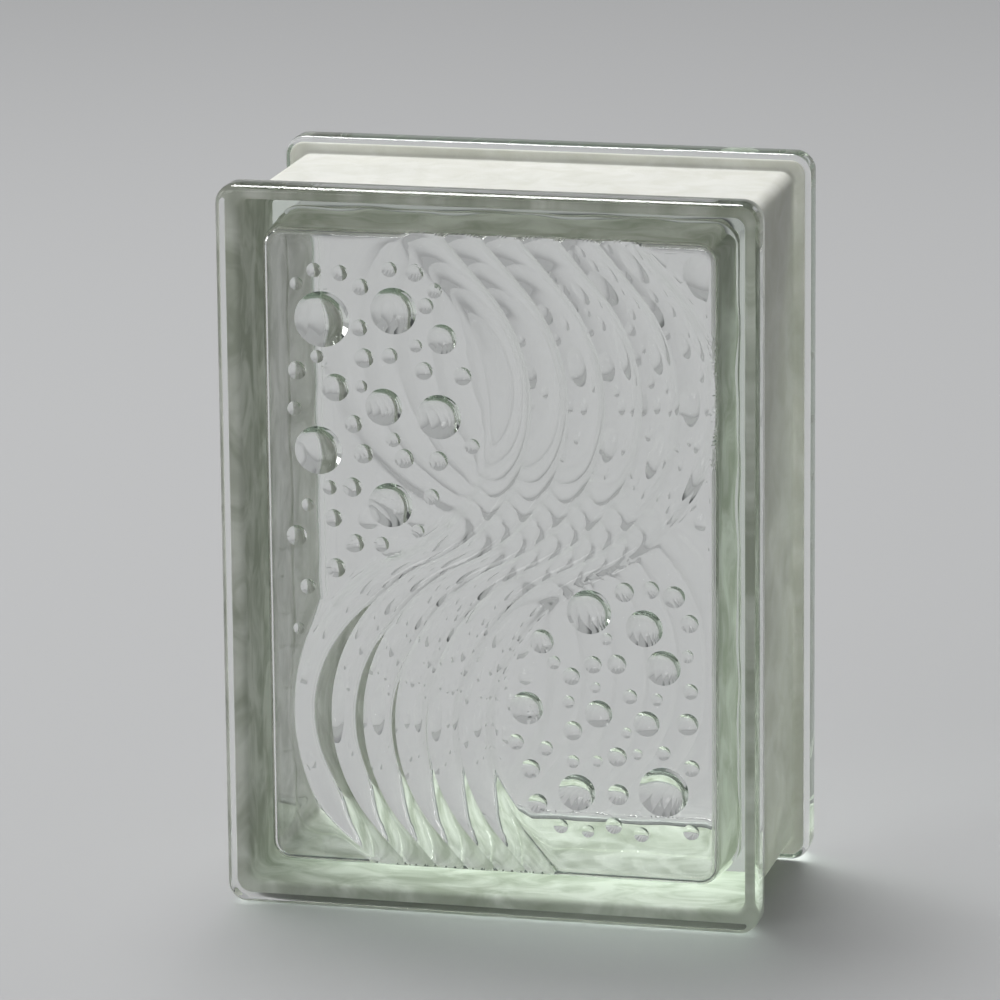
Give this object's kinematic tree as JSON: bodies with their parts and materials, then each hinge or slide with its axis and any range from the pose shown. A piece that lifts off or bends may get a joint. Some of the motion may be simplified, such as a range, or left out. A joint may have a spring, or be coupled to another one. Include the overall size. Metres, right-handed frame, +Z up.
{
  "type": "glass block",
  "caption": "Hollow glass block with reeded and bubbled inner faces, smooth outer faces and a coated channel round its edges for mortar.",
  "frame": {"origin": "middle of the footprint of the block as it stands on a short edge", "axes": "+Z up along the height, +X along the width, the front face looks towards -Y and the seam of the halves lies on y = 0"},
  "size_m": [0.146, 0.079, 0.197],
  "materials": {
    "glass": "smooth pressed soda-lime glass, fire polished, faint green in thick places",
    "edge_coating": "matte off-white mortar key coat"
  },
  "bodies": {
    "root": {"front_half": "glass", "back_half": "glass", "edge_coating": "edge_coating"}
  },
  "joints": []
}
